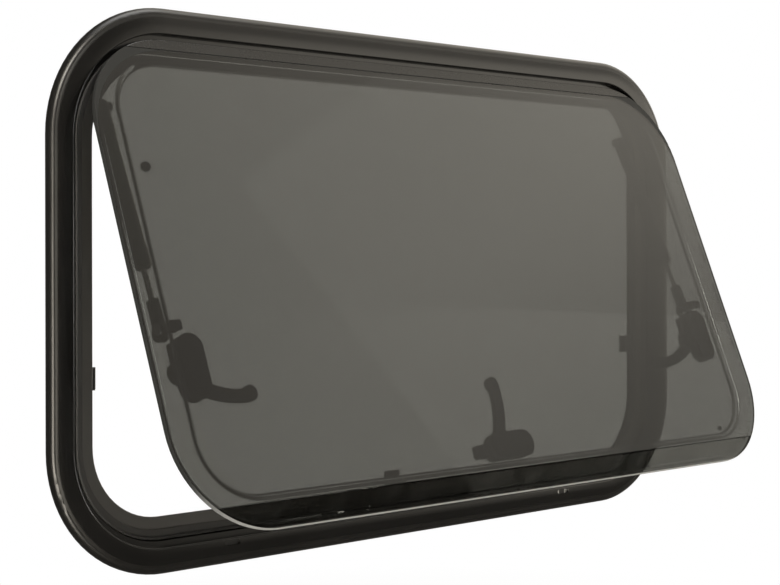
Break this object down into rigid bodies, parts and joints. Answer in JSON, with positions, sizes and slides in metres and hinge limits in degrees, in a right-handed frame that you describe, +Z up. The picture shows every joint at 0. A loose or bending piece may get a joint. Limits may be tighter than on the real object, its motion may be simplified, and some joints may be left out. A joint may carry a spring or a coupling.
{
  "type": "caravan window",
  "caption": "Top-hung camper window: black rounded frame clamped in a wall, tinted push-out double pane, lever latches inside and telescopic side stays.",
  "frame": {"origin": "centre of the window on the wall plane, which is the flat back of the frame's flange", "axes": "+X to the right seen from outside, +Y indoors, +Z up; outdoors is -Y"},
  "size_m": [0.746, 0.1816, 0.446],
  "materials": {
    "frame_black": "satin black powder coat on bent aluminium",
    "trim_black": "fine-grained black plastic",
    "screw_steel": "bright zinc",
    "seal_rubber": "matt black",
    "hinge_aluminium": "satin dark coating",
    "tinted_acrylic": "polished grey-tinted acrylic",
    "clear_acrylic": "clear formed acrylic",
    "plug_plastic": "moulded",
    "drain_silver": "bare",
    "fitting_plastic": "moulded black",
    "lever_plastic": "moulded black",
    "pin_steel": "turned",
    "stay_black": "satin black tube",
    "rod_steel": "drawn bright rod"
  },
  "bodies": {
    "frame": {"outer_frame": "frame_black", "clamp_frame": "trim_black", "clamp_screws": "screw_steel", "weather_seal": "seal_rubber", "hinge_rail": "hinge_aluminium", "drain_cap_left": "drain_silver", "drain_cap_right": "drain_silver", "keeper_left": "fitting_plastic", "keeper_right": "fitting_plastic", "keeper_low": "fitting_plastic", "stay_bracket_left": "fitting_plastic", "stay_pin_left": "pin_steel", "stay_bracket_right": "fitting_plastic", "stay_pin_right": "pin_steel"},
    "sash": {"outer_pane": "tinted_acrylic", "inner_pane": "clear_acrylic", "hinge_strip": "hinge_aluminium", "breather_plug": "plug_plastic", "small_plug": "plug_plastic", "latch_base_left": "fitting_plastic", "latch_base_right": "fitting_plastic", "latch_base_low": "fitting_plastic", "pane_bracket_left": "fitting_plastic", "pane_pin_left": "pin_steel", "pane_bracket_right": "fitting_plastic", "pane_pin_right": "pin_steel"},
    "latch_left": {"lever_left": "lever_plastic", "lever_screw_left": "screw_steel"},
    "latch_right": {"lever_right": "lever_plastic", "lever_screw_right": "screw_steel"},
    "latch_low": {"lever_low": "lever_plastic", "lever_screw_low": "screw_steel"},
    "tube_left": {"stay_tube_left": "stay_black", "stay_cap_left": "fitting_plastic"},
    "rod_left": {"stay_rod_left": "rod_steel", "stay_eye_left": "fitting_plastic"},
    "tube_right": {"stay_tube_right": "stay_black", "stay_cap_right": "fitting_plastic"},
    "rod_right": {"stay_rod_right": "rod_steel", "stay_eye_right": "fitting_plastic"}
  },
  "joints": [
    {"name": "sash_hinge", "type": "hinge", "parent": "frame", "child": "sash", "pos_m": [0, 0.0009, 0.1918], "axis": [-1, 0, 0], "range_deg": [-22, 23]},
    {"name": "latch_left_turn", "type": "hinge", "parent": "sash", "child": "latch_left", "pos_m": [-0.3073, -0.09554, -0.05224], "axis": [0, -0.9272, 0.3746], "range_deg": [0, 90]},
    {"name": "latch_right_turn", "type": "hinge", "parent": "sash", "child": "latch_right", "pos_m": [0.3073, -0.09554, -0.05224], "axis": [0, 0.9272, -0.3746], "range_deg": [0, 90]},
    {"name": "latch_low_turn", "type": "hinge", "parent": "sash", "child": "latch_low", "pos_m": [-0.007, -0.12802, -0.13263], "axis": [0, -0.9272, 0.3746], "range_deg": [0, 90]},
    {"name": "stay_left_swing", "type": "hinge", "parent": "frame", "child": "tube_left", "pos_m": [-0.317, 0.0146, 0.1425], "axis": [-1, 0, 0], "range_deg": [-26.77, 27.96]},
    {"name": "stay_left_slide", "type": "slide", "parent": "tube_left", "child": "rod_left", "axis": [0, -0.4262, -0.9046], "range_m": [-0.01299, 0.01356]},
    {"name": "stay_right_swing", "type": "hinge", "parent": "frame", "child": "tube_right", "pos_m": [0.317, 0.0146, 0.1425], "axis": [-1, 0, 0], "range_deg": [-26.77, 27.96]},
    {"name": "stay_right_slide", "type": "slide", "parent": "tube_right", "child": "rod_right", "axis": [0, -0.4262, -0.9046], "range_m": [-0.01299, 0.01356]}
  ],
  "couplings": [
    {"joint": "stay_left_swing", "follows": "sash_hinge", "ratio": 1.194},
    {"joint": "stay_left_slide", "follows": "sash_hinge", "m_per_rad": 0.03254},
    {"joint": "stay_right_swing", "follows": "sash_hinge", "ratio": 1.194},
    {"joint": "stay_right_slide", "follows": "sash_hinge", "m_per_rad": 0.03254}
  ]
}
